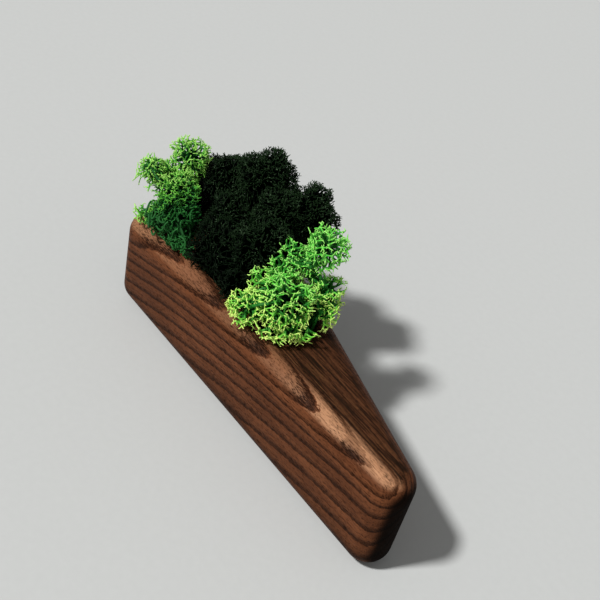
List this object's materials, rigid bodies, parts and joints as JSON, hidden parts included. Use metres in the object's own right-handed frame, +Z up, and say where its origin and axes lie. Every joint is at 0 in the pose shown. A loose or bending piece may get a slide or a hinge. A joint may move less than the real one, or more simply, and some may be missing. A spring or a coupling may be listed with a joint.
{
  "type": "preserved moss garden in a wooden block",
  "caption": "Wedge-shaped solid wooden block with a routed pocket at its wide end, planted with forked bunches of light and dark green preserved moss.",
  "frame": {"origin": "on the block's flat base, at the middle of the block's outline before its corners are rounded", "axes": "+X along the long front side towards the narrow end, +Y from the front side to the back, +Z up from the base"},
  "size_m": [0.1691, 0.0632, 0.0795],
  "materials": {
    "oiled_wood": "dark heat-treated ash, oiled, open grain",
    "light_moss": "dyed preserved moss, matt, soft",
    "green_moss": "dyed preserved moss, matt, soft",
    "dark_moss": "dyed preserved moss, matt, soft"
  },
  "bodies": {
    "root": {"wooden_block": "oiled_wood", "light_moss_left": "green_moss", "dark_moss_left": "dark_moss", "dark_moss_middle": "dark_moss", "light_moss_front": "light_moss", "light_moss_right": "light_moss"}
  },
  "joints": []
}
